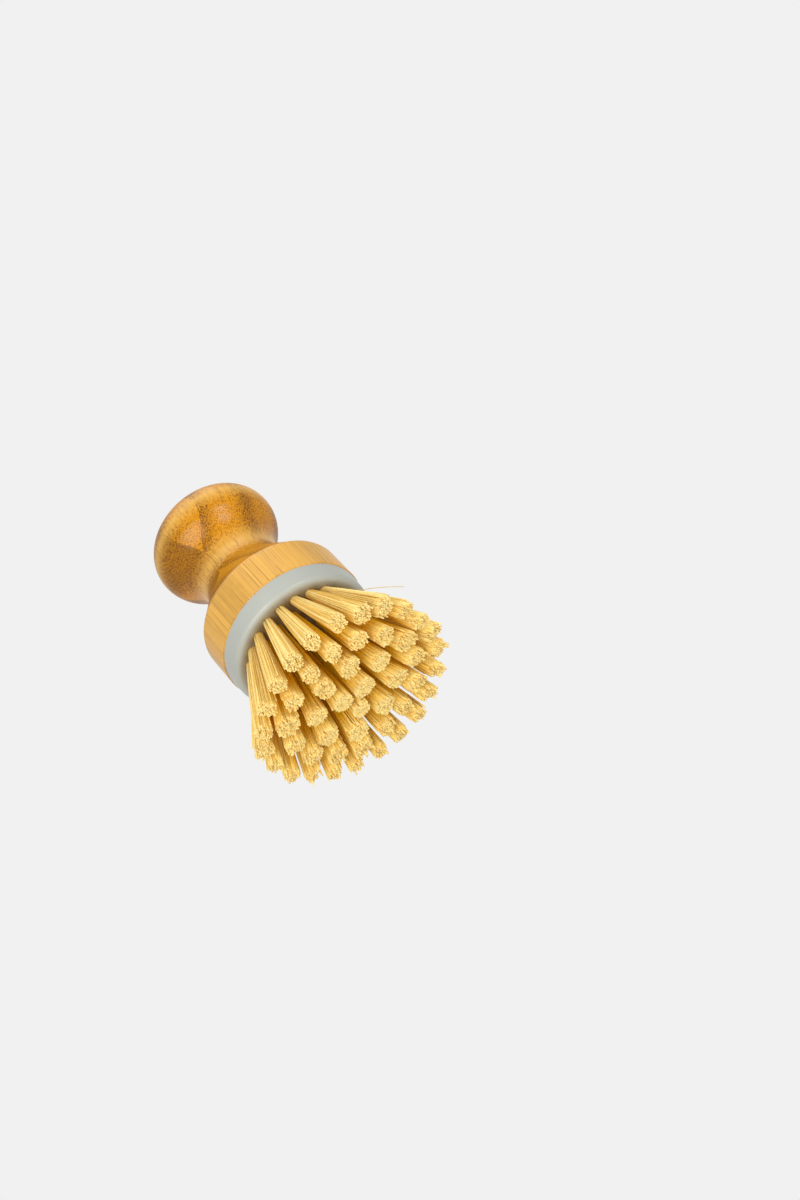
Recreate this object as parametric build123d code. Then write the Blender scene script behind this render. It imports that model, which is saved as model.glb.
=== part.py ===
from build123d import *
import os
from math import acos, atan2, cos, hypot, pi, radians, sin

# A palm dish brush: a turned bamboo handle with a knob, a hollow neck and a straight collar,
# a round plastic bristle block glued under the collar, and a fan of tufts set in the block.
# The brush stands upright on its longest bristles. The turning axis is Z, +Z points up the
# handle, and the origin is the centre of the flat that the longest bristles are trimmed to.

# Handle, turned from one laminated blank. Heights are above the joint with the block.
handle_height = 65.5
collar_radius = 26.0
collar_height = 13.3
collar_edge_break = 0.5
collar_arris = 0.3
neck_radius = 14.8
knob_radius = 22.5
knob_depth = 13.0
knob_shoulder_radius = 9.9

# The neck's hollow: its middle and its radius, as shares of the height between the collar's
# top and the widest point of the knob
neck_height_share = 0.523
neck_hollow_share = 0.398

# Bristle block: a moulded disc, set back a little under the collar, with a spigot on its back
block_setback = 0.3
block_height = 7.0
block_draft = 0.4
block_edge_round = 2.0
spigot_height = 4.0
spigot_chamfer = 0.6

# Joint between the two: the recess in the collar is wider and deeper than the spigot
recess_wall = 6.85
recess_clearance = 0.15
adhesive_thickness = 0.3
adhesive_margin = 0.5

# Blind tuft holes, in rings from the rim to the middle, all leaning away from one apex that
# lies above the block's face. The starts are the angles of each ring's first hole, in degrees.
rim_margin = 5.7
inner_ring_radius = 3.2
ring_counts = (23, 15, 8, 3)
ring_starts = (0.0, 1.0, 32.0, 110.0)
hole_radius = 1.8
hole_depth = 5.0
fan_apex_height = 47.8

# Tufts, each folded at the bottom of its hole under a flat wire anchor. The pitch of the strands
# is a share of the width of one leg of the fold, and they spread by a share towards the tips.
tuft_clearance = 0.05
fold_thickness = 0.8
fold_sides = 6
bristle_length = 31.6
trim_depth = 0.5
strands_per_leg = 5
strand_gap = 0.05
strand_pitch_share = 0.335
tip_spread_share = 2.5
anchor_thickness = 0.4
anchor_width = 1.5
anchor_clearance = 0.15

# How far a cutting or joining shape runs past the face that it passes
overrun = 0.5

knob_height = handle_height - knob_depth
neck_span = knob_height - collar_height
neck_height = collar_height + neck_height_share * neck_span
neck_hollow_radius = neck_hollow_share * neck_span
block_radius = collar_radius - block_setback
spigot_radius = collar_radius - recess_wall - recess_clearance
outer_ring_radius = block_radius - rim_margin
fold_radius = hole_radius - tuft_clearance
fold_depth = hole_depth - fold_thickness
anchor_length = 2 * (hole_radius - anchor_clearance)
face_z = bristle_length - trim_depth
joint_z = face_z + block_height

# Shapes that stand on their own origin, or hang from it
STANDING = (Align.CENTER, Align.CENTER, Align.MIN)
HANGING = (Align.CENTER, Align.CENTER, Align.MAX)


def unit(x, z):
    """The direction of a step in the profile plane, one long."""
    length = hypot(x, z)
    return x / length, z / length


def arc_about(centre, radius, start, end):
    """An arc of under a half circle about a centre, from one profile point to another."""
    x, z = unit(start[0] + end[0] - 2 * centre[0], start[1] + end[1] - 2 * centre[1])
    middle = (centre[0] + radius * x, centre[1] + radius * z)
    return ThreePointArc(start, middle, end)


def handle_profile():
    """Half the turned outline, from the joint up, as arcs that run into each other."""
    hollow = (neck_radius + neck_hollow_radius, neck_height)
    edge = (collar_radius, collar_height)

    # the flare is the line from the collar's edge that just touches the neck's hollow
    run = (edge[0] - hollow[0], edge[1] - hollow[1])
    turn = atan2(run[1], run[0]) - acos(neck_hollow_radius / hypot(*run))
    flare_end = (
        hollow[0] + neck_hollow_radius * cos(turn),
        hollow[1] + neck_hollow_radius * sin(turn),
    )

    # the knob's underside is the arc that touches the hollow and is upright at the widest point
    side = hollow[0] - knob_radius
    rise = knob_height - neck_height
    belly_radius = (side**2 + rise**2 - neck_hollow_radius**2) / (2 * (neck_hollow_radius - side))
    belly = (knob_radius - belly_radius, knob_height)
    x, z = unit(belly[0] - hollow[0], belly[1] - hollow[1])
    belly_start = (hollow[0] + neck_hollow_radius * x, hollow[1] + neck_hollow_radius * z)

    # the crown is the arc about the axis that touches the shoulder at the handle's full height
    shoulder = (knob_radius - knob_shoulder_radius, knob_height)
    crown_radius = (shoulder[0] ** 2 + knob_depth**2 - knob_shoulder_radius**2) / (
        2 * (knob_depth - knob_shoulder_radius)
    )
    crown = (0, handle_height - crown_radius)
    x, z = unit(shoulder[0] - crown[0], shoulder[1] - crown[1])
    crown_edge = (crown[0] + crown_radius * x, crown[1] + crown_radius * z)

    widest = (knob_radius, knob_height)
    top = (0, handle_height)
    return [
        Line((0, 0), (collar_radius, 0)),
        Line((collar_radius, 0), edge),
        Line(edge, flare_end),
        arc_about(hollow, neck_hollow_radius, flare_end, belly_start),
        arc_about(belly, belly_radius, belly_start, widest),
        arc_about(shoulder, knob_shoulder_radius, widest, crown_edge),
        arc_about(crown, crown_radius, crown_edge, top),
        Line(top, (0, 0)),
    ]


def turned(edges):
    """The solid of a closed half outline drawn in (radius, height) and turned about Z."""
    outline = Plane.XZ * make_face(Curve() + edges)
    return revolve(outline, Axis.Z)


def circle_at(body, height):
    """The round edge of a turned body that lies nearest to a height."""
    circles = body.edges().filter_by(GeomType.CIRCLE)
    return circles.sort_by(lambda edge: abs(edge.center().Z - height))[0]


def handle():
    """The turned handle, with the recess for the block's spigot in its foot."""
    body = turned(handle_profile())
    body = chamfer(circle_at(body, collar_height), collar_edge_break)
    body = chamfer(circle_at(body, 0), collar_arris)
    depth = spigot_height + adhesive_thickness
    recess = Cylinder(spigot_radius + recess_clearance, depth + overrun, align=HANGING)
    return Pos(0, 0, joint_z) * (body - Pos(0, 0, depth) * recess)


def hole_planes():
    """Every hole's name and its plane: mouth at the origin, +Z out along the tuft."""
    planes = []
    ring_pitch = (outer_ring_radius - inner_ring_radius) / (len(ring_counts) - 1)
    for ring, (count, start) in enumerate(zip(ring_counts, ring_starts)):
        radius = outer_ring_radius - ring * ring_pitch
        lean = atan2(radius, fan_apex_height)
        for index in range(count):
            angle = radians(start) + 2 * pi * index / count
            outward = Vector(cos(angle), sin(angle), 0)
            along = outward * sin(lean) + Vector(0, 0, -cos(lean))
            sideways = Vector(-sin(angle), cos(angle), 0)
            mouth = outward * radius + Vector(0, 0, face_z)
            name = f"tuft_ring{ring + 1}_{index + 1:02d}"
            planes.append((name, Plane(origin=mouth, x_dir=sideways, z_dir=along)))
    return planes


def bristle_block(planes):
    """The disc with its rounded front edge, its spigot and its leaning blind holes."""
    outline = Polyline(
        (0, 0),
        (block_radius - block_draft, 0),
        (block_radius, block_height),
        (spigot_radius, block_height),
        (spigot_radius, block_height + spigot_height),
        (0, block_height + spigot_height),
        close=True,
    )
    body = turned(outline.edges())
    body = fillet(circle_at(body, 0), block_edge_round)
    body = chamfer(circle_at(body, block_height + spigot_height), spigot_chamfer)
    drill = Pos(0, 0, -hole_depth) * Cylinder(
        hole_radius, hole_depth + hole_radius, align=STANDING
    )
    holes = [plane * drill for _, plane in planes]
    return Pos(0, 0, face_z) * body - holes


def adhesive_layer():
    """The glue between the spigot's top and the floor of the recess."""
    radius = spigot_radius - spigot_chamfer - adhesive_margin
    disc = Cylinder(radius, adhesive_thickness, align=STANDING)
    return Pos(0, 0, joint_z + spigot_height) * disc


def tuft_anchors(planes):
    """A flat wire across each hole, on edge on the fold of its tuft, along the radius."""
    wire = Box(anchor_thickness, anchor_length, anchor_width, align=STANDING)
    seat = Pos(0, 0, tuft_clearance - fold_depth)
    return Compound(children=[plane * seat * wire for _, plane in planes])


def strand_feet():
    """The side of a strand, and where they stand on the fold: a zigzag row in each leg."""
    leg_start = anchor_thickness / 2 + tuft_clearance
    pitch = strand_pitch_share * (fold_radius - leg_start)
    side = pitch - strand_gap
    first_row = leg_start + strand_gap + side / 2
    feet = []
    for leg in (-1, 1):
        for index in range(strands_per_leg):
            across = first_row + (index % 2) * pitch
            along = (index - (strands_per_leg - 1) / 2) * pitch
            feet.append((leg * across, along))
    return side, feet


def tuft():
    """A tuft in the frame of its hole: the fold at the bottom and the two legs of strands."""
    fold = extrude(RegularPolygon(fold_radius, fold_sides), fold_thickness)
    side, feet = strand_feet()
    strands = []
    for x, y in feet:
        foot = Vector(x, y, -fold_depth - overrun)
        tip = Vector(tip_spread_share * x, tip_spread_share * y, bristle_length)
        run = tip - foot
        section = Plane(origin=foot, x_dir=Vector(0, 1, 0).cross(run), z_dir=run)
        strands.append(extrude(section * Rectangle(side, side), run.length))
    return (Pos(0, 0, -hole_depth) * fold).fuse(*strands)


def tufts(planes):
    """Each tuft in its hole, with what reaches below the standing plane trimmed off."""
    one = tuft()
    reach = outer_ring_radius + bristle_length
    below = Box(2 * reach, 2 * reach, reach, align=HANGING)
    placed = {}
    for name, plane in planes:
        piece = plane * one
        if piece.bounding_box().min.Z < 0:
            piece = piece - below
        placed[name] = piece
    return placed


def main():
    planes = hole_planes()
    parts = {
        "handle": handle(),
        "bristle_block": bristle_block(planes),
        "adhesive_layer": adhesive_layer(),
        "tuft_anchors": tuft_anchors(planes),
    }
    parts.update(tufts(planes))
    os.makedirs("parts", exist_ok=True)
    for name, shape in parts.items():
        export_step(shape, f"parts/{name}.step")
    strands = 2 * strands_per_leg * len(planes)
    print(len(parts), "nodes,", len(planes), "tufts,", strands, "strands")


main()
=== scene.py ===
# %% [markdown]
# # A palm dish brush
#
# The real brush has five finishes: lacquered bamboo on the turned handle, moulded plastic on the
# block under it, glue and wire that hardly show, and stiff plant fibre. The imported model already
# holds the turned and moulded shapes to two hundredths of a millimetre, so it is loaded first
# and stays as it is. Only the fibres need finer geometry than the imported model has.

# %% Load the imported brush
from math import atan2, cos, pi, radians, sin

import bpy
import bmesh
import numpy as np
from mathutils import Matrix, Vector


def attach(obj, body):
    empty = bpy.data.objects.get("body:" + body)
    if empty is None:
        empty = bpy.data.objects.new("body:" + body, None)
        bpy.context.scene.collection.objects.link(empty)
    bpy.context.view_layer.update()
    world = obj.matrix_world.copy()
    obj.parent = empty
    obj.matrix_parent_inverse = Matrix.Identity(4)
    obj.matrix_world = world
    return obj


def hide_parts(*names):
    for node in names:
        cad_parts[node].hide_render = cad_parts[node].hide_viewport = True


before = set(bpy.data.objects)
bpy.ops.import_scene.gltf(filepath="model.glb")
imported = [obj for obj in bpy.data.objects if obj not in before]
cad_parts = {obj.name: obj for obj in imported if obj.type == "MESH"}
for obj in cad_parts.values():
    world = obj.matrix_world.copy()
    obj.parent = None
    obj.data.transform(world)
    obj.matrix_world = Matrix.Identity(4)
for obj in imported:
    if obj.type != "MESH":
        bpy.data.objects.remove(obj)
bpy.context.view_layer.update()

MM = 0.001

# %% [markdown]
# ## The camera
#
# Seen from the standing brush, the photographer was well below it and looked up at the
# bristles, with the knob running away to the upper left. A camera could be tilted by hand until
# it fits, but three directions and a place say the same thing exactly: where the picture's
# right, its top and its back point in the brush's own frame. The camera is more than half a
# metre away, so the far end of the handle is only a little smaller than the near one.

# %% Camera
camera_place = Vector((0.0700, -0.4478, -0.3536))
picture_right = Vector((0.6721, 0.5039, -0.5425))
picture_top = Vector((0.7374, -0.3895, 0.5518))
picture_back = picture_right.cross(picture_top)
lens_length = 55.74
sensor_width = 36.0
nearest_seen = 0.01
look_height = 0.038

turn = Matrix((picture_right, picture_top, picture_back)).transposed().to_4x4()
bpy.ops.object.camera_add()
camera = bpy.context.object
camera.name = "photo_camera"
camera.matrix_world = Matrix.Translation(camera_place) @ turn
camera.data.sensor_fit = "AUTO"
camera.data.sensor_width = sensor_width
camera.data.lens = lens_length
camera.data.clip_start = nearest_seen
camera.data.dof.use_dof = False
bpy.context.scene.camera = camera
to_brush = (camera_place - Vector((0, 0, look_height))).length
print("camera to brush:", round(to_brush, 3), "m")

# %% [markdown]
# ## Floor, sky and lamps
#
# A product table is pale and evenly lit. The floor could be one big white plane, but this
# camera sits below it, so its material lets the view through from behind and melts away
# towards the rim, where the plain background takes over. The floor still catches the shadow
# of the brush in every view from above.

# %% Small helpers for node trees
def node(tree, kind, inputs=None, **settings):
    """Add a node, set its options, and link or fill its inputs."""
    made = tree.nodes.new("ShaderNode" + kind)
    for name, value in settings.items():
        setattr(made, name, value)
    for name, value in (inputs or {}).items():
        if isinstance(value, bpy.types.NodeSocket):
            tree.links.new(value, made.inputs[name])
        else:
            made.inputs[name].default_value = value
    return made


def maths(tree, operation, a, b=0.0):
    """One Math node's result."""
    return node(tree, "Math", {0: a, 1: b}, operation=operation).outputs[0]


def remap(tree, value, low, high, to_low=0.0, to_high=1.0, kind="LINEAR"):
    """Map a value's range onto another and hold it there."""
    sockets = {"Value": value, "From Min": low, "From Max": high,
               "To Min": to_low, "To Max": to_high}
    return node(tree, "MapRange", sockets, interpolation_type=kind).outputs[0]


def blend(tree, factor, a, b):
    """Mix two colours."""
    return node(tree, "Mix", {0: factor, 6: a, 7: b}, data_type="RGBA").outputs[2]


def from_axis(tree, place):
    """How far a place lies from the turning axis."""
    flat = node(tree, "VectorMath", {0: place, 1: (1, 1, 0)}, operation="MULTIPLY").outputs[0]
    return node(tree, "VectorMath", {0: flat}, operation="LENGTH").outputs["Value"]


def new_material(name):
    """A material with an empty tree but for its output and one principled shader."""
    made = bpy.data.materials.new(name)
    made.use_nodes = True
    tree = made.node_tree
    tree.nodes.clear()
    shader = node(tree, "BsdfPrincipled")
    node(tree, "OutputMaterial", {"Surface": shader.outputs[0]})
    return made, tree, shader


# %% Floor
floor_reach = 0.75
floor_sides = 96
fade_start = 0.18
fade_end = 0.70
paper_dark = (0.91, 0.91, 0.905, 1)
paper_light = (0.94, 0.94, 0.935, 1)
bpy.ops.object.select_all(action="DESELECT")
bpy.ops.mesh.primitive_circle_add(vertices=floor_sides, radius=floor_reach, fill_type="NGON")
floor = bpy.context.object
floor.name = "floor"
floor.visible_shadow = False
floor.visible_diffuse = False
floor.visible_glossy = False

paper, tree, shader = new_material("pale_paper")
place = node(tree, "TexCoord").outputs["Object"]
paper_grain = node(tree, "TexNoise", {"Vector": place, "Scale": 900.0, "Detail": 2.0}).outputs[0]
paper_tone = blend(tree, paper_grain, paper_dark, paper_light)
tree.links.new(paper_tone, shader.inputs["Base Color"])
shader.inputs["Roughness"].default_value = 0.9
shader.inputs["Specular IOR Level"].default_value = 0.1
distance = node(tree, "VectorMath", {0: place}, operation="LENGTH").outputs["Value"]
kept = remap(tree, distance, fade_start, fade_end, 1.0, 0.0, "SMOOTHERSTEP")
from_above = maths(tree, "SUBTRACT", 1.0, node(tree, "NewGeometry").outputs["Backfacing"])
shown = maths(tree, "MULTIPLY", kept, from_above)
clear = node(tree, "BsdfTransparent").outputs[0]
mixed = node(tree, "MixShader", {0: shown, 1: clear, 2: shader.outputs[0]}).outputs[0]
tree.links.new(mixed, tree.nodes["Material Output"].inputs["Surface"])
floor.data.materials.append(paper)
print("floor:", 2 * floor_reach, "m wide, fades from", fade_start, "to", fade_end, "m")

# %% [markdown]
# The sky has two jobs. It fills the shadows evenly, and it is the plain background. A brighter
# background would light the brush as well, so the camera, and what mirrors or lets light through,
# see one level of it, and everything else is lit by another.

# %% Sky
background_level = 0.879
fill_level = 0.55
sky = bpy.data.worlds.new("studio")
bpy.context.scene.world = sky
sky.use_nodes = True
tree = sky.node_tree
tree.nodes.clear()
path = node(tree, "LightPath").outputs
seen = maths(tree, "MAXIMUM", path["Is Camera Ray"], path["Is Glossy Ray"])
seen = maths(tree, "MAXIMUM", seen, path["Is Transmission Ray"])
fill = node(tree, "Background", {"Color": (1, 1, 1, 1), "Strength": fill_level}).outputs[0]
plain = node(tree, "Background", {"Color": (1, 1, 1, 1), "Strength": background_level}).outputs[0]
mixed = node(tree, "MixShader", {0: seen, 1: fill, 2: plain}).outputs[0]
node(tree, "OutputWorld", {"Surface": mixed})
print("sky: background", background_level, "fill", fill_level)

# %% [markdown]
# The highlight on the knob mirrors a light at the upper right of the picture, on the camera's
# side. A small square lamp there gives the same highlight. A wide one in front lights the
# bristles and the block, which the camera sees from below. A third one above lights the brush
# for the views in which it stands, and throws the shadow on the floor.

# %% Lamps
brush_middle = Vector((0, 0, 0.05))
lamp_distance = 0.9


def soft_lamp(name, direction, side, level):
    """A square lamp aimed at the brush, whose level is the tone it gives a white surface."""
    bpy.ops.object.light_add(type="AREA")
    lamp = bpy.context.object
    lamp.name = name
    lamp.data.shape = "SQUARE"
    lamp.data.size = side
    lamp.data.energy = level * pi**2 * lamp_distance**2
    lamp.location = brush_middle + Vector(direction).normalized() * lamp_distance
    lamp.rotation_euler = (lamp.location - brush_middle).to_track_quat("Z", "Y").to_euler()
    lamp.visible_camera = False
    return lamp


key = soft_lamp("key_lamp", direction=(0.75, -0.52, -0.41), side=0.30, level=0.24)
front = soft_lamp("front_lamp", direction=(-0.18, -0.78, -0.60), side=0.60, level=0.64)
top = soft_lamp("top_lamp", direction=(0.25, -0.35, 0.90), side=0.80, level=0.36)
print("lamps:", [(lamp.name, round(lamp.data.energy, 2)) for lamp in (key, front, top)])

bpy.context.scene.view_settings.view_transform = "Standard"

# %% [markdown]
# ## An effect that every finish shares
#
# No real surface has one tone all over. Wood, plastic, glue, steel and fibre all drift a little
# in tone and in gloss. One node group makes that drift, from the place on the object, and each
# material sets its own grain size and range.

# %% Shared group: tone drift
drift = bpy.data.node_groups.new("tone_drift", "ShaderNodeTree")
for name, kind in (("Vector", "NodeSocketVector"), ("Scale", "NodeSocketFloat"),
                   ("Low", "NodeSocketFloat"), ("High", "NodeSocketFloat")):
    drift.interface.new_socket(name, in_out="INPUT", socket_type=kind)
drift.interface.new_socket("Value", in_out="OUTPUT", socket_type="NodeSocketFloat")
inside = drift.nodes.new("NodeGroupInput").outputs
slow = node(drift, "TexNoise", {"Vector": inside["Vector"], "Scale": inside["Scale"],
                               "Detail": 3.0})
spread = node(drift, "MapRange", {"Value": slow.outputs[0], "From Min": 0.3, "From Max": 0.7,
                                  "To Min": inside["Low"], "To Max": inside["High"]})
result = drift.nodes.new("NodeGroupOutput")
drift.links.new(spread.outputs[0], result.inputs["Value"])
print("shared group:", drift.name, "with", len(drift.nodes), "nodes")


def drifting(tree, vector, scale, low, high):
    """Place the shared group in a material and return its value."""
    sockets = {"Vector": vector, "Scale": scale, "Low": low, "High": high}
    return node(tree, "Group", sockets, node_tree=drift).outputs[0]


def dress(name, material):
    """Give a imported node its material."""
    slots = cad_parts[name].material_slots
    for slot in slots:
        slot.material = material
    print(name, "wears", material.name, "in", len(slots), "slot")


# %% [markdown]
# ## Bamboo
#
# The handle is turned from a blank of glued bamboo strips whose fibres all run along the axis.
# A picture of bamboo wrapped around it would smear where the shape narrows. A solid pattern
# doesn't: strips, glue lines and fibre bundles are drawn once in plan, and drawn out along
# the axis, so they come out as straight lines on the collar and as dark pores on the knob.
#
# The plan is measured in millimetres from the corner of one strip. The photo shows glue lines
# that cross on the knob, which gives that corner, the two directions and both sizes of a strip.
# Which strip of the blank it is decides the random tones around it. The plan sways a little, as
# no strip is quite straight.

# %% Bamboo: strips and glue lines
across_strips = (765.0, -644.0, 0.0)
through_strips = (505.0, 863.0, 0.0)
along_strips = (0.0, 0.0, 1000.0)
strip_corner = (7.9, -14.8)
strip_width = 24.0
strip_thickness = 7.9
strip_of_blank = (23, 39)
glue_width = 0.05
column_glue_core, column_glue_edge = 0.08, 0.20
sway_reach = 0.7

bamboo, tree, shader = new_material("lacquered_bamboo")
place = node(tree, "TexCoord").outputs["Object"]


def distance_along(direction, start):
    """How far a place lies in a direction, in millimetres from a start."""
    reach = node(tree, "VectorMath", {0: place, 1: direction}, operation="DOT_PRODUCT")
    return maths(tree, "SUBTRACT", reach.outputs["Value"], start)


plan = node(tree, "CombineXYZ", {"X": distance_along(across_strips, strip_corner[0]),
                                 "Y": distance_along(through_strips, strip_corner[1]),
                                 "Z": distance_along(along_strips, 0.0)}).outputs[0]
slow = node(tree, "Mapping", {"Vector": plan, "Scale": (0.08, 0.08, 0.04)}).outputs[0]
sway = node(tree, "TexNoise", {"Vector": slow, "Scale": 1.0}).outputs[1]
sway = node(tree, "VectorMath", {0: sway, 1: (0.5, 0.5, 0.5)}, operation="SUBTRACT").outputs[0]
plan = node(tree, "VectorMath", {0: sway, 1: (sway_reach, sway_reach, 0), 2: plan},
            operation="MULTIPLY_ADD").outputs[0]
blank = (strip_of_blank[0] * strip_width, strip_of_blank[1] * strip_thickness, 0)
in_blank = node(tree, "VectorMath", {0: plan, 1: blank}, operation="ADD").outputs[0]
bricks = node(tree, "TexBrick", {"Vector": in_blank, "Color1": (0, 0, 0, 1),
                                 "Color2": (1, 1, 1, 1),
                                 "Mortar": (0.5, 0.5, 0.5, 1), "Scale": 1.0,
                                 "Mortar Size": glue_width, "Mortar Smooth": 0.6,
                                 "Brick Width": strip_width, "Row Height": strip_thickness},
              offset=0.0)
strip_tone, glue_line = bricks.outputs["Color"], bricks.outputs["Fac"]
print("strips:", strip_width, "by", strip_thickness, "mm")

# %% [markdown]
# Each strip was the wall of a bamboo cane. Its fibre bundles crowd together towards the cane's
# outer skin, so every strip is darker along one face. Which face that is changes from strip to
# strip, as they come to hand, so it is read from the strip's own random tone. The darkest strips
# are crowded all through. Two sets of dots of unlike pitch keep the bundles from standing in
# rows, and slow noise breaks them off along their length.

# %% Bamboo: fibre bundles
axes = node(tree, "SeparateXYZ", {"Vector": plan}).outputs
through = maths(tree, "FRACT", maths(tree, "DIVIDE", axes["Y"], strip_thickness))
lot = maths(tree, "FRACT", maths(tree, "MULTIPLY", strip_tone, 7.0))
flipped = maths(tree, "GREATER_THAN", lot, 0.5)
skin_side = maths(tree, "ABSOLUTE", maths(tree, "SUBTRACT", flipped, through))
crowding = remap(tree, skin_side, 0.0, 0.65, 1.0, 0.0, "SMOOTHSTEP")
crowding = maths(tree, "MAXIMUM", crowding, remap(tree, strip_tone, 0.0, 0.35, 0.75, 0.0))
to_column = maths(tree, "PINGPONG", axes["X"], strip_width / 2)
column_glue = remap(tree, to_column, column_glue_core, column_glue_edge, 1.0, 0.0)


def rods(pitch, thin, thick):
    """Fibre bundles in plan: a mask of dots that grow where the bundles crowd."""
    cells = node(tree, "TexVoronoi", {"Vector": plan, "Scale": 1 / pitch, "Randomness": 0.7},
                 voronoi_dimensions="2D", feature="F1").outputs["Distance"]
    reach = remap(tree, crowding, 0.0, 1.0, thin, thick)
    inner = maths(tree, "MULTIPLY", reach, 0.6)
    return node(tree, "MapRange", {"Value": cells, "From Min": reach, "From Max": inner},
                interpolation_type="SMOOTHSTEP").outputs[0]


def drawn_noise(across, length, detail):
    """Noise that is drawn out along the fibres."""
    place = node(tree, "Mapping", {"Vector": plan, "Scale": (across, across, length)}).outputs[0]
    return node(tree, "TexNoise", {"Vector": place, "Scale": 1.0, "Detail": detail,
                                   "Roughness": 0.65}).outputs[0]


gaps = drawn_noise(across=0.9, length=0.25, detail=2.0)
breaks = remap(tree, gaps, 0.34, 0.54, 0.30, 1.0)
coarse_rods = rods(pitch=0.64, thin=0.33, thick=0.38)
fine_rods = rods(pitch=0.52, thin=0.14, thick=0.40)
bundles = maths(tree, "MULTIPLY", maths(tree, "MAXIMUM", coarse_rods, fine_rods), breaks)
hairs = drawn_noise(across=3.2, length=0.05, detail=3.0)
streaks = drawn_noise(across=0.8, length=0.012, detail=2.0)
threads = drawn_noise(across=2.2, length=0.02, detail=1.0)
threads = remap(tree, threads, 0.60, 0.69, 0.0, 1.0)
print("bamboo so far:", len(tree.nodes), "nodes")

# %% [markdown]
# Lacquer sinks into cut fibre ends and leaves them deep amber, while the long side of the
# fibres stays tan. How far a face leans away from the axis says how much of the fibre was cut
# across, and drives both the colour and the strength of the pores. The collar's broken edge is
# kept near the pale tan of the long side, although it cuts the fibres.

# %% Bamboo: colour and gloss
side_tan = (0.74, 0.40, 0.075, 1)
end_amber = (0.63, 0.255, 0.001, 1)
pore_brown = (0.16, 0.045, 0.001, 1)
glue_brown = (0.20, 0.075, 0.008, 1)
pale_edge_from = 25.2 * MM
pale_edge_to = 25.6 * MM
pore_relief = 0.04 * MM

lean = node(tree, "SeparateXYZ", {"Vector": node(tree, "TexCoord").outputs["Normal"]})
cut_across = remap(tree, maths(tree, "ABSOLUTE", lean.outputs["Z"]), 0.04, 0.42, 0.0, 1.0)
# The collar's edge chamfer keeps most of the tan of the long side.
pale_edge = remap(tree, from_axis(tree, place), pale_edge_from, pale_edge_to, 1.0, 0.3)
cut_across = maths(tree, "MULTIPLY", cut_across, pale_edge)
wood = blend(tree, cut_across, side_tan, end_amber)
dark_strip = remap(tree, cut_across, 0.0, 1.0, 0.94, 0.74)
crowded = maths(tree, "MULTIPLY", crowding, remap(tree, cut_across, 0.0, 1.0, 0.25, 1.0))
lightness = remap(tree, strip_tone, 0.0, 0.7, dark_strip, 1.06)
for factor in (remap(tree, hairs, 0.25, 0.75, 0.86, 1.10),
               remap(tree, streaks, 0.30, 0.70, 0.92, 1.06),
               remap(tree, crowded, 0.0, 1.0, 1.04, 0.76),
               drifting(tree, place, 60.0, 0.96, 1.04)):
    lightness = maths(tree, "MULTIPLY", lightness, factor)
wood = node(tree, "VectorMath", {0: wood, "Scale": lightness}, operation="SCALE").outputs[0]
pore_depth = maths(tree, "MULTIPLY", bundles, remap(tree, cut_across, 0.0, 1.0, 0.15, 0.95))
pore_depth = maths(tree, "MULTIPLY", pore_depth, remap(tree, crowding, 0.0, 0.8, 0.72, 1.0))
wood = blend(tree, pore_depth, wood, pore_brown)
thread_depth = maths(tree, "MULTIPLY", threads, remap(tree, cut_across, 0.0, 0.5, 0.45, 0.0))
wood = blend(tree, thread_depth, wood, glue_brown)
wood = blend(tree, maths(tree, "MULTIPLY", glue_line, 0.25), wood, glue_brown)
uneven = remap(tree, streaks, 0.40, 0.60, 0.15, 0.60)
wood = blend(tree, maths(tree, "MULTIPLY", column_glue, uneven), wood, glue_brown)
tree.links.new(wood, shader.inputs["Base Color"])

relief = maths(tree, "MULTIPLY", hairs, 0.5)
relief = maths(tree, "SUBTRACT", relief, pore_depth)
relief = maths(tree, "SUBTRACT", relief, glue_line)
bump = node(tree, "Bump", {"Height": relief, "Strength": 0.35, "Distance": pore_relief})
tree.links.new(bump.outputs[0], shader.inputs["Normal"])
tree.links.new(drifting(tree, place, 140.0, 0.36, 0.50), shader.inputs["Roughness"])
shader.inputs["Coat Weight"].default_value = 0.50
shader.inputs["Coat Roughness"].default_value = 0.25
shader.inputs["Specular IOR Level"].default_value = 0.02
dress("handle", bamboo)

# %% [markdown]
# ## Moulded block, glue and wire
#
# The block is grey-green plastic straight from the mould: satin, with a faint orange-peel skin.
# Around the tufts it gets painted shade, warm like light bounced off the fibres. The glue and the
# flat wires sit out of sight, but get honest finishes too, because the part may be shown cut open.

# %% Block
tuft_shade_from = 24.6 * MM
tuft_shade_to = 21.0 * MM
peel_relief = 0.02 * MM
tuft_shade_colour = (0.20, 0.125, 0.025, 1)
plastic_dark = (0.410, 0.425, 0.378, 1)
plastic_light = (0.446, 0.460, 0.408, 1)
plastic, tree, shader = new_material("grey_green_plastic")
place = node(tree, "TexCoord").outputs["Object"]
# Painted shade: the face darkens and warms towards the tufts, which block the light and bounce it
# back gold.
painted_shade = remap(tree, from_axis(tree, place), tuft_shade_from, tuft_shade_to, 0.0, 1.0, "SMOOTHSTEP")
painted_shade = maths(tree, "MULTIPLY", painted_shade, drifting(tree, place, 300.0, 0.65, 0.95))
shell = blend(tree, drifting(tree, place, 45.0, 0.0, 1.0), plastic_dark, plastic_light)
shell = blend(tree, painted_shade, shell, tuft_shade_colour)
tree.links.new(shell, shader.inputs["Base Color"])
tree.links.new(drifting(tree, place, 120.0, 0.30, 0.42), shader.inputs["Roughness"])
peel = node(tree, "TexNoise", {"Vector": place, "Scale": 1600.0, "Detail": 1.0}).outputs[0]
bump = node(tree, "Bump", {"Height": peel, "Strength": 0.15, "Distance": peel_relief})
tree.links.new(bump.outputs[0], shader.inputs["Normal"])
dress("bristle_block", plastic)

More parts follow.
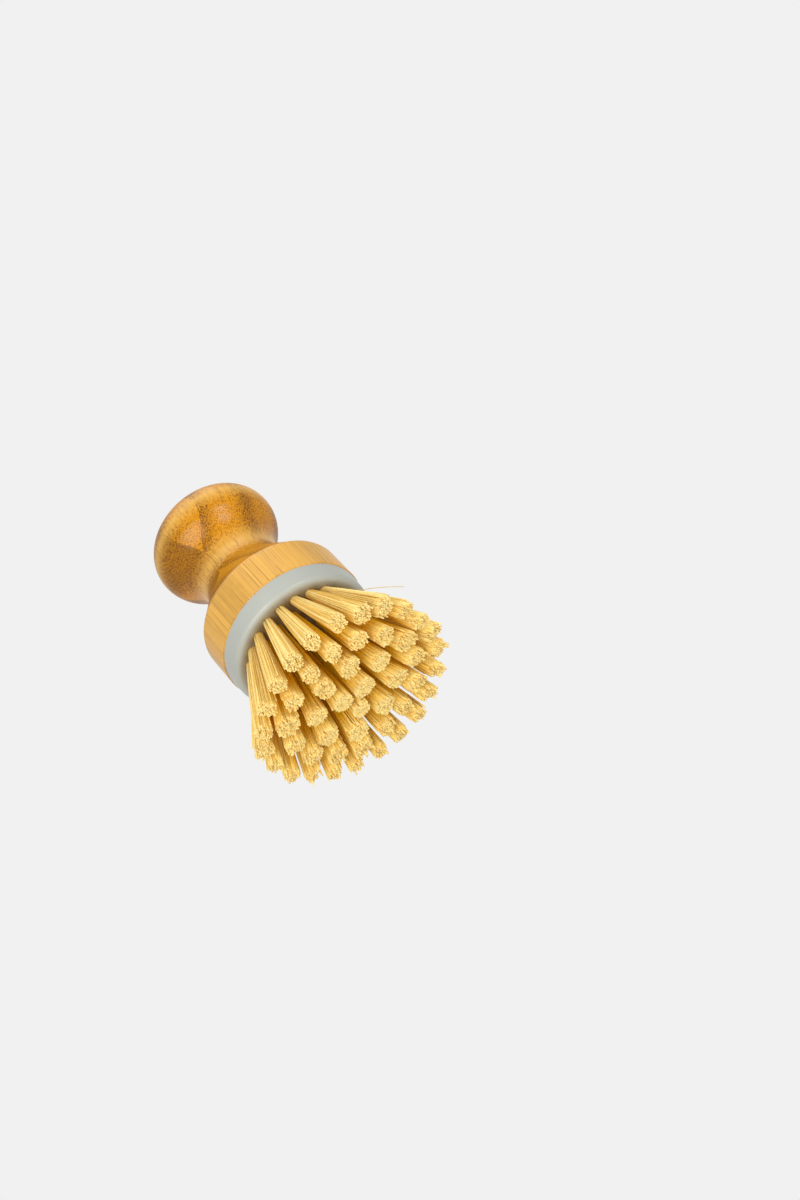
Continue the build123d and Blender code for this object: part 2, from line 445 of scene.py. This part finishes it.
# %% Glue
glue_dark = (0.58, 0.40, 0.16, 1)
glue_light = (0.72, 0.56, 0.30, 1)
glue, tree, shader = new_material("set_glue")
place = node(tree, "TexCoord").outputs["Object"]
tone = drifting(tree, place, 220.0, 0.0, 1.0)
tree.links.new(blend(tree, tone, glue_dark, glue_light), shader.inputs["Base Color"])
tree.links.new(drifting(tree, place, 500.0, 0.12, 0.30), shader.inputs["Roughness"])
dress("adhesive_layer", glue)

# %% Wire
wire_dark = (0.46, 0.46, 0.45, 1)
wire_light = (0.60, 0.60, 0.58, 1)
steel, tree, shader = new_material("drawn_wire")
place = node(tree, "TexCoord").outputs["Object"]
tone = drifting(tree, place, 2500.0, 0.0, 1.0)
tree.links.new(blend(tree, tone, wire_dark, wire_light), shader.inputs["Base Color"])
tree.links.new(drifting(tree, place, 4000.0, 0.22, 0.42), shader.inputs["Roughness"])
shader.inputs["Metallic"].default_value = 1.0
dress("tuft_anchors", steel)

# %% [markdown]
# ## One strand of fibre
#
# A strand is a stiff plant fibre, a little flattened, cut square at its tip. Hair curves could
# draw thousands of them, but the brush needs real strands that a hole grips and a trimmer has
# cut. So one strand is modelled: a six-sided rod, divided along its length so that it can bend.

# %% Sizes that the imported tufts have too, in millimetres
rings = ((20.0, 23, 0.0), (14.4, 15, 1.0), (8.8, 8, 32.0), (3.2, 3, 110.0))
fan_apex_height = 47.8
face_height = 31.1
grip_depth = 4.2
bristle_length = 31.6
print("rings:", len(rings), "tufts:", sum(count for _, count, _ in rings))

# %% Sizes of the fine strands, in millimetres
strand_radius = 0.116
strand_flatness = 0.82
strand_pitch = 0.165
leg_gap = 0.24
bundle_radius = 1.58
print("strand:", 2 * strand_radius, "mm wide in its hole")

# %% Strand
strand_sides, strand_cuts = 6, 5
smooth_below = radians(75)
bpy.ops.object.select_all(action="DESELECT")
rod_length = grip_depth + bristle_length
bpy.ops.mesh.primitive_cylinder_add(vertices=strand_sides, radius=strand_radius,
                                    depth=rod_length, end_fill_type="NGON",
                                    location=(0, 0, rod_length / 2 - grip_depth))
strand = bpy.context.object
strand.name = "strand"
bpy.ops.object.transform_apply(location=True)
bpy.ops.object.mode_set(mode="EDIT")
bpy.ops.mesh.select_mode(type="EDGE")
bpy.ops.mesh.select_all(action="DESELECT")
work = bmesh.from_edit_mesh(strand.data)
for edge in work.edges:
    ends = [vert.co.z for vert in edge.verts]
    edge.select_set(abs(ends[0] - ends[1]) > rod_length / 2)
bmesh.update_edit_mesh(strand.data)
bpy.ops.mesh.subdivide(number_cuts=strand_cuts)
bpy.ops.mesh.select_all(action="SELECT")
bpy.ops.transform.resize(value=(1.0, strand_flatness, 1.0))
bpy.ops.object.mode_set(mode="OBJECT")
bpy.ops.object.shade_smooth_by_angle(angle=smooth_below)
print("strand:", len(strand.data.polygons), "faces")

# %% [markdown]
# ## One tuft
#
# A tuft is a bundle of strands folded under a wire at the bottom of its hole, so it comes out
# as two legs with a narrow gap between them. Copies of the strand stand like pencils in a cup,
# on a honeycomb of places on both sides of the gap. The places are closer than a strand is
# wide, so that the root looks solid. The fold itself is out of sight and isn't drawn.

# %% Places of the strands in the hole
strand_seed = 20
dice = np.random.default_rng(strand_seed)
places = []
row_pitch = strand_pitch * 3**0.5 / 2
most = int(bundle_radius / row_pitch) + 1
for row in range(-most, most + 1):
    for step in range(-most, most + 1):
        if row == 0:
            continue
        x = (1 if row > 0 else -1) * (leg_gap / 2 + strand_radius + (abs(row) - 1) * row_pitch)
        y = (step + 0.5 * (abs(row) % 2)) * strand_pitch
        if (x * x + y * y) ** 0.5 + strand_radius <= bundle_radius + strand_radius / 2:
            places.append((x, y))
places = np.array(places)
print("strands in a tuft:", len(places))

# %% Tuft of straight strands
copies = []
for index, (x, y) in enumerate(places):
    copy = strand.copy()
    copy.data = strand.data.copy()
    bpy.context.collection.objects.link(copy)
    turned = Matrix.Rotation(dice.uniform(0, pi), 4, "Z")
    copy.data.transform(Matrix.Translation((x, y, 0)) @ turned)
    mark = copy.data.attributes.new("strand", "INT", "POINT")
    mark.data.foreach_set("value", [index] * len(copy.data.vertices))
    copies.append(copy)
bpy.ops.object.select_all(action="DESELECT")
for copy in copies:
    copy.select_set(True)
bpy.context.view_layer.objects.active = copies[0]
bpy.ops.object.join()
tuft = copies[0]
tuft.name = "tuft"
rest = np.empty(len(tuft.data.vertices) * 3, np.float32)
tuft.data.vertices.foreach_get("co", rest)
rest = rest.reshape(-1, 3).astype(float)
which = np.empty(len(rest), np.int32)
tuft.data.attributes["strand"].data.foreach_get("value", which)
along = (rest[:, 2] + grip_depth) / rod_length
out = np.clip(rest[:, 2] / bristle_length, 0, 1)
print("tuft:", len(tuft.data.polygons), "faces")

# %% [markdown]
# ## Forty-nine tufts
#
# Out of the hole the strands are free and splay. Each tuft is a copy with its own mesh, and
# every strand in it gets its own small lean, bow, length and tone. The splay grows faster than
# the length, as it does on a stiff brush, and neighbouring strands lean together in locks,
# which opens the dark gaps between them. The strands also grow thicker as they spread, so that
# they fill the wide end of the tuft as well as its narrow root.
#
# The ends of a leaning tuft lie between square to the tuft and level with the table, so the
# strands on its outer side are the longer ones.

# %% How far strands and tufts stray, in millimetres or as shares
splay = (2.1, 2.45, 2.5, 2.5)
splay_power = 1.08
tip_fill = 1.28
tuft_spread, strand_spread = 0.12, 0.05
tuft_oval = 0.08
tuft_lean = 0.40
tip_scatter = 0.06
bow_reach = 0.14
lock_count = 12
lock_pull = 0.10
lock_length = 0.010
lock_places = (0.05, 0.95)
wild_share = 0.07
wild_reach = (0.05, 0.18)
wild_shorter = 0.05
mean_length, core_longer = 0.978, 0.018
ragged_rim, core_steadier = 0.024, 0.018
trim_level, trim_pivot, trim_reach = 0.5, 1.2, 0.5
print("splay by ring:", splay, "locks in a tuft:", lock_count)

# %% Bend one tuft's strands


def bent(seed, splay, slant):
    """A tuft's points with every strand bent in its own way, and the tones of its strands."""
    roll = np.random.default_rng(seed)
    count = len(places)
    spread = splay + roll.normal(0, tuft_spread) + roll.normal(0, strand_spread, count)
    closed = places - np.sign(places) * ((leg_gap + strand_radius) / 2, 0)
    oval = roll.normal(1, tuft_oval, 2)
    tips = closed * spread[:, None] * oval + roll.normal(0, tip_scatter, (count, 2))
    angle = roll.uniform(0, 2 * pi, lock_count)
    reach = bundle_radius * splay * np.sqrt(roll.uniform(*lock_places, lock_count))
    reach[0] = 0
    locks = np.stack([reach * np.cos(angle), reach * np.sin(angle)], 1)
    to_lock = np.linalg.norm(tips[:, None] - locks[None], axis=2)
    lock = to_lock.argmin(1)
    tips += lock_pull * (locks[lock] - tips)
    tips += roll.normal(0, tuft_lean, 2)
    wild = roll.random(count) < wild_share
    tips[wild] *= 1.0 + roll.uniform(*wild_reach, (wild.sum(), 1))
    bow = roll.normal(0, bow_reach, (count, 2))
    core = np.clip(1 - np.linalg.norm(places, axis=1) / bundle_radius, 0, 1)
    ragged = ragged_rim - core_steadier * core
    length = mean_length + core_longer * core + roll.normal(0, 1, count) * ragged
    length += roll.normal(0, lock_length, lock_count)[lock]
    outer_side = tips[:, 1] - trim_pivot
    length += trim_level * np.tan(slant) * outer_side / bristle_length
    length[wild] -= roll.uniform(0.0, wild_shorter, wild.sum())
    free = (out**splay_power)[:, None]
    shift = (tips - places)[which] * free + bow[which] * np.sin(pi * out)[:, None]
    points = rest.copy()
    growth = ((tip_fill * splay - 1) * out)[:, None]
    points[:, :2] += (rest[:, :2] - places[which]) * growth + shift
    points[:, 2] = np.where(points[:, 2] > 0, points[:, 2] * length[which], points[:, 2])
    tones = roll.random(count)[which]
    trim = roll.uniform(0.0, trim_reach, count)
    return points, tones, core[which], trim[which]


# %% [markdown]
# ## Fibre colours
#
# Raw palm fibre is gold, with painted shade at the root, which the light hardly reaches, and
# painted light, a paler colour, where light falls: at the tips, and all along the outer tufts.
# The cut ends are cream.
# A picture of fibres would not follow each strand, so every point of a tuft carries four numbers
# instead: the strand's own tone, how far along it lies, how deep in the tuft, and how much
# painted light it gets. The finish mixes its colours from these.

# %% Fibre finish
fibre, tree, shader = new_material("stiff_fibre")
tone = node(tree, "Attribute", attribute_name="tone").outputs["Fac"]
reach = node(tree, "Attribute", attribute_name="along").outputs["Fac"]
core = node(tree, "Attribute", attribute_name="core").outputs["Fac"]
lit_share = node(tree, "Attribute", attribute_name="lit_share").outputs["Fac"]
place = node(tree, "TexCoord").outputs["Object"]
# The ramp is the fibre's gold, with painted shade at the root and a deeper orange low down that
# paints light bounced among the fibres.
ramp = node(tree, "ValToRGB", {"Fac": reach})
stops = ((0.00, (0.40, 0.14, 0.01)), (0.12, (0.96, 0.49, 0.01)), (0.45, (0.99, 0.56, 0.01)),
         (0.80, (0.99, 0.60, 0.02)), (1.00, (0.99, 0.66, 0.07)))
lit_pale_colour = (0.99, 0.785, 0.32, 1)
dull_strand = (0.84, 0.43, 0.02, 1)
cut_cream = (0.99, 0.83, 0.42, 1)
ramp.color_ramp.elements[0].position, ramp.color_ramp.elements[0].color = 0.0, (*stops[0][1], 1)
ramp.color_ramp.elements[1].position, ramp.color_ramp.elements[1].color = 1.0, (*stops[-1][1], 1)
for position, colour in stops[1:-1]:
    ramp.color_ramp.elements.new(position).color = (*colour, 1)
# Painted shade: strands in the core of a tuft are a little darker; the strand's own tone varies at
# random.
shade = maths(tree, "MULTIPLY", remap(tree, tone, 0.0, 1.0, 0.88, 1.08),
              remap(tree, core, 0.0, 1.0, 1.03, 0.96))
shade = maths(tree, "MULTIPLY", shade, drifting(tree, place, 900.0, 0.92, 1.05))
# Painted light: the paler colour towards the tips and on strands outside the inner cone.
at_tip = remap(tree, reach, 0.80, 1.0, 0.0, 0.65)
painted_light = maths(tree, "MULTIPLY", lit_share, remap(tree, tone, 0.0, 1.0, 0.6, 1.0))
gold = blend(tree, maths(tree, "MAXIMUM", painted_light, at_tip), ramp.outputs[0], lit_pale_colour)
gold = blend(tree, remap(tree, tone, 0.0, 0.50, 0.60, 0.0), gold, dull_strand)
gold = blend(tree, remap(tree, reach, 0.975, 0.995, 0.0, 0.35), gold, cut_cream)
fibre_colour = node(tree, "VectorMath", {0: gold, "Scale": shade}, operation="SCALE")
tree.links.new(fibre_colour.outputs[0], shader.inputs["Base Color"])
tree.links.new(drifting(tree, place, 700.0, 0.48, 0.66), shader.inputs["Roughness"])
shader.inputs["Specular IOR Level"].default_value = 0.04
print("fibre finish:", len(tree.nodes), "nodes")

# %% [markdown]
# ## One stray strand
#
# One strand of the real brush has sprung out of its tuft and stands nearly flat along the block.
# Moving it by hand would break with the next change of the tufts, so it is found as the outermost
# strand of one tuft and laid on a bowed line from its foot to the place where the photo shows
# its end.

# %% Stray strand
stray_tuft = "ring1_01"
stray_end = np.array((3.8, 9.3, 16.0))
stray_bow = np.array((0.0, 0.6, -0.2))


def with_stray(points):
    """Let the strand on the outer side of a tuft spring away from it."""
    loose = places[:, 1].argmax()
    mine = which == loose
    foot = np.array((*places[loose], 0))
    section = (rest[mine] - foot) * (1, 1, 0)
    line = foot + out[mine, None] * (stray_end - foot) + np.sin(pi * out[mine, None]) * stray_bow
    free = mine.nonzero()[0][out[mine] > 0]
    points = points.copy()
    points[free] = (line + section)[out[mine] > 0]
    return points


# %% [markdown]
# ## Every tuft in its hole
#
# The holes lean away from one point above the block's face, so each hole's place and direction
# follow from its ring and its number. A strand whose end would pass the table is trimmed there,
# each a hair higher or lower, because ends that overlap in one plane would show as black specks.
# The inner tufts fill a cone below that same point above the block. A strand inside it is shaded
# by its neighbours and keeps its gold, and a strand outside it gets painted light, a paler colour.

# %% Set every tuft in its hole
apex_height = face_height + fan_apex_height
shaded_angle = 19.5
bright_angle = 23.5
seeds_in_ring = 1000


def point_values(mesh, name, values):
    """Store one number for each point of a mesh."""
    held = mesh.attributes.new(name, "FLOAT", "POINT")
    held.data.foreach_set("value", np.ascontiguousarray(values, np.float32))


tuft.data.materials.clear()
tuft.data.materials.append(fibre)
bristles = []
for ring, (radius, count, start) in enumerate(rings, 1):
    slant = atan2(radius, fan_apex_height)
    for index in range(count):
        angle = radians(start) + 2 * pi * index / count
        outward = np.array((cos(angle), sin(angle), 0))
        down = outward * sin(slant) + np.array((0, 0, -cos(slant)))
        sideways = np.array((-sin(angle), cos(angle), 0))
        over = np.cross(down, sideways)
        mouth = outward * radius + np.array((0, 0, face_height))
        name = f"ring{ring}_{index + 1:02d}"
        points, tones, core, trim = bent(seeds_in_ring * ring + index, splay[ring - 1], slant)
        if name == stray_tuft:
            points = with_stray(points)
        world = mouth + points @ np.stack([sideways, over, down])
        world[:, 2] = np.maximum(world[:, 2], trim)
        # Painted light: how far a strand stands outside the inner cone, stored for the fibre
        # finish.
        fan_angle = np.arctan2(np.hypot(world[:, 0], world[:, 1]), apex_height - world[:, 2])
        lit_amount = (np.degrees(fan_angle) - shaded_angle) / (bright_angle - shaded_angle)
        mesh = tuft.data.copy()
        mesh.name = f"bristles_{name}"
        mesh.vertices.foreach_set("co", (world * MM).astype(np.float32).ravel())
        mesh.attributes.remove(mesh.attributes["strand"])
        point_values(mesh, "tone", tones)
        point_values(mesh, "along", along)
        point_values(mesh, "core", core)
        point_values(mesh, "lit_share", np.clip(lit_amount, 0, 1))
        mesh.update()
        piece = bpy.data.objects.new(f"bristles_{name}", mesh)
        bpy.context.collection.objects.link(piece)
        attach(piece, "root")
        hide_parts(f"tuft_{name}")
        bristles.append(piece)
bpy.data.objects.remove(tuft)
bpy.data.objects.remove(strand)
print("tufts:", len(bristles), "strands:", len(bristles) * len(places))
